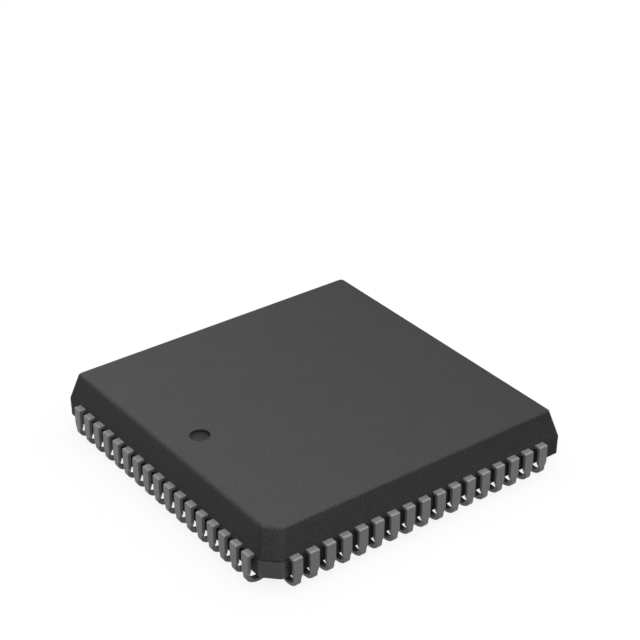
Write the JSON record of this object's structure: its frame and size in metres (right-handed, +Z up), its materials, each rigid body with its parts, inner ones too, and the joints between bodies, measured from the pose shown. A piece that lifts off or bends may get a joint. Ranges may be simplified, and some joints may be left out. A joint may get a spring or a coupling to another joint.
{
  "type": "plastic leaded chip carrier",
  "caption": "Square surface-mount chip: moulded black body with a bevelled index corner and dimple, J-shaped tin-plated leads on all four sides, die, paddle and bond wires inside.",
  "frame": {"origin": "centre of the package on the seating plane under the curled feet", "axes": "+Z up out of the top face; the bevelled index corner points to -X -Y, and lead 1 is the middle lead of the -X side"},
  "size_m": [0.025, 0.025, 0.0043],
  "materials": {
    "mould_compound": "matte moulded epoxy with a fine grain",
    "tin_plate": "dull tin plate on copper alloy",
    "gold_wire": "bright gold wire",
    "copper_sheet": "rolled copper alloy",
    "silver_epoxy": "cured silver-filled epoxy",
    "silicon": "polished silicon"
  },
  "bodies": {
    "root": {"body": "mould_compound", "leads_10_to_26": "tin_plate", "leads_27_to_43": "tin_plate", "leads_44_to_60": "tin_plate", "leads_61_to_9": "tin_plate", "wires_10_to_26": "gold_wire", "wires_27_to_43": "gold_wire", "wires_44_to_60": "gold_wire", "wires_61_to_9": "gold_wire", "die_paddle": "copper_sheet", "die_attach": "silver_epoxy", "die": "silicon"}
  },
  "joints": []
}
